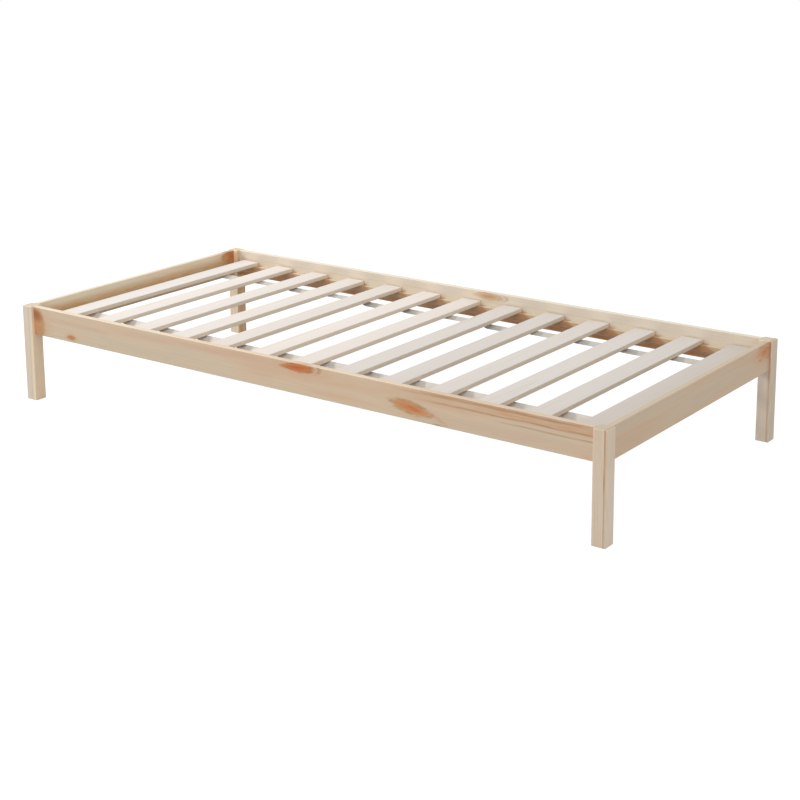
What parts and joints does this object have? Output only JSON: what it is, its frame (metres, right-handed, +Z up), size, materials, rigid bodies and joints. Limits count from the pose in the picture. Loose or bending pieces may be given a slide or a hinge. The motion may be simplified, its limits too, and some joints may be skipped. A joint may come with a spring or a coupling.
{
  "type": "single bed frame",
  "caption": "Low single bed frame of pale pine with square legs, straight rails and a roll of slats that lies on ledges inside the side rails, for a single mattress.",
  "frame": {"origin": "on the floor, below the middle of the bed", "axes": "+X along the bed towards the end that is nearer in the picture, +Y from the front side rail to the back one, +Z up"},
  "size_m": [2.06, 0.975, 0.3],
  "materials": {
    "pine": "planed and sanded bare pine with knots, satin to matt",
    "slat_wood": "planed bare softwood, paler than the frame, matt",
    "dowel_beech": "turned bare beech",
    "webbing": "flat woven textile tape, light grey",
    "zinc_steel": "pressed steel, zinc plated"
  },
  "bodies": {
    "root": {"dowel_back_left_lower": "dowel_beech", "dowel_back_left_upper": "dowel_beech", "dowel_back_right_lower": "dowel_beech", "dowel_back_right_upper": "dowel_beech", "dowel_front_left_lower": "dowel_beech", "dowel_front_left_upper": "dowel_beech", "dowel_front_right_lower": "dowel_beech", "dowel_front_right_upper": "dowel_beech", "end_rail_left": "pine", "end_rail_right": "pine", "hook_plate_back_left": "zinc_steel", "hook_plate_back_right": "zinc_steel", "hook_plate_front_left": "zinc_steel", "hook_plate_front_right": "zinc_steel", "ledge_screw_back_1": "zinc_steel", "ledge_screw_back_2": "zinc_steel", "ledge_screw_back_3": "zinc_steel", "ledge_screw_back_4": "zinc_steel", "ledge_screw_back_5": "zinc_steel", "ledge_screw_back_6": "zinc_steel", "ledge_screw_back_7": "zinc_steel", "ledge_screw_front_1": "zinc_steel", "ledge_screw_front_2": "zinc_steel", "ledge_screw_front_3": "zinc_steel", "ledge_screw_front_4": "zinc_steel", "ledge_screw_front_5": "zinc_steel", "ledge_screw_front_6": "zinc_steel", "ledge_screw_front_7": "zinc_steel", "leg_back_left": "pine", "leg_back_right": "pine", "leg_front_left": "pine", "leg_front_right": "pine", "side_rail_back": "pine", "side_rail_front": "pine", "slat_01": "slat_wood", "slat_02": "slat_wood", "slat_03": "slat_wood", "slat_04": "slat_wood", "slat_05": "slat_wood", "slat_06": "slat_wood", "slat_07": "slat_wood", "slat_08": "slat_wood", "slat_09": "slat_wood", "slat_10": "slat_wood", "slat_11": "slat_wood", "slat_12": "slat_wood", "slat_13": "slat_wood", "slat_ledge_back": "pine", "slat_ledge_front": "pine", "slat_strap_back": "webbing", "slat_strap_front": "webbing", "strike_plate_back_left": "zinc_steel", "strike_plate_back_right": "zinc_steel", "strike_plate_front_left": "zinc_steel", "strike_plate_front_right": "zinc_steel"}
  },
  "joints": []
}
